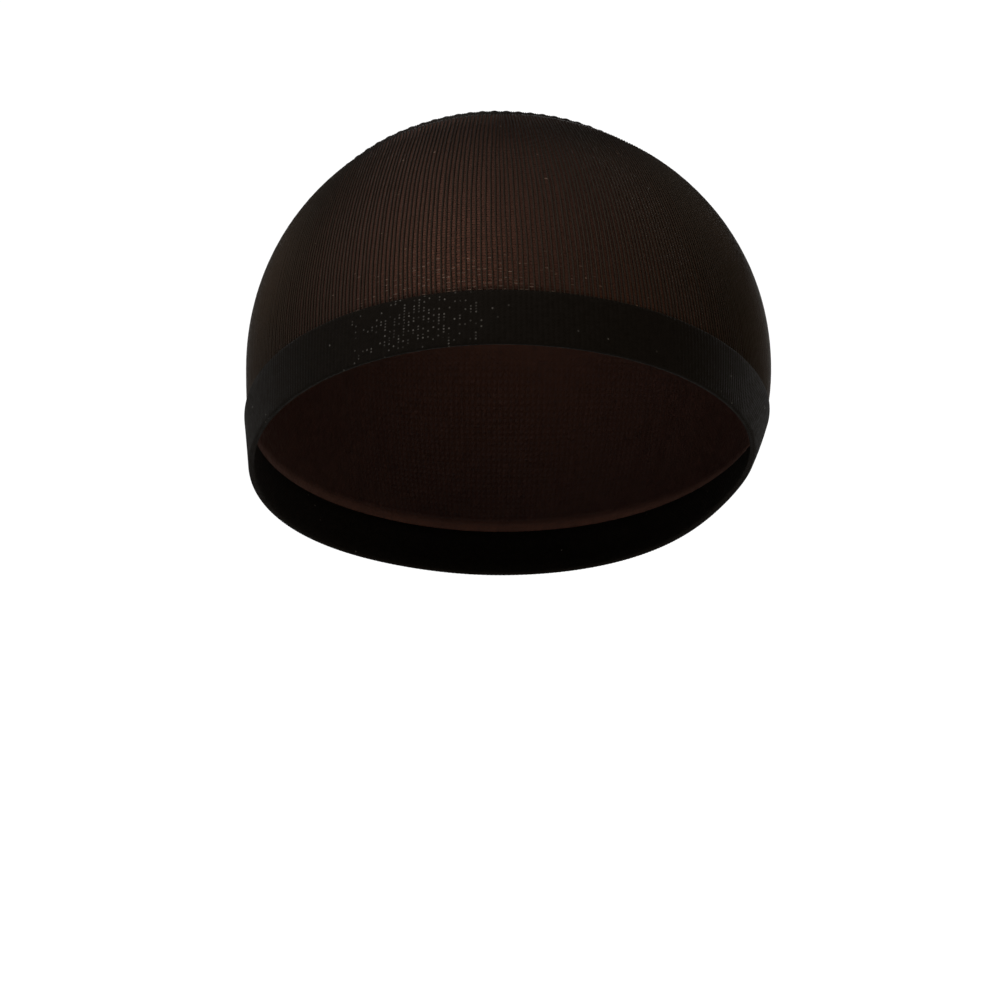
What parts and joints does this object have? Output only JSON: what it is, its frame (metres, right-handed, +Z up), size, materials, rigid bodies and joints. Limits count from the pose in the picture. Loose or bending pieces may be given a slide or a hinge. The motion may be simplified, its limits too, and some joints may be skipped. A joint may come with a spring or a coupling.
{
  "type": "stocking wig cap",
  "caption": "Close-fitting stretch knit cap worn under a wig: sheer ribbed dome, opaque elastic band round the tilted opening, raised closing seam over the top.",
  "frame": {"origin": "the point inside the crown that touches the top of the head, where the head carries the cap", "axes": "+Z up, away from the head; -Y towards the forehead and +Y towards the nape; X across the head from ear to ear"},
  "size_m": [0.1504, 0.1926, 0.1343],
  "materials": {
    "sheer_knit": "sheer black ribbed stretch knit, matt with a soft sheen at grazing angles",
    "double_knit": "opaque black double knit with fine ribs and small glints of elastic yarn",
    "seam_thread": "black overlock thread, slightly glossy"
  },
  "bodies": {
    "root": {"crown": "sheer_knit", "band": "double_knit", "closing_seam": "seam_thread"}
  },
  "joints": []
}
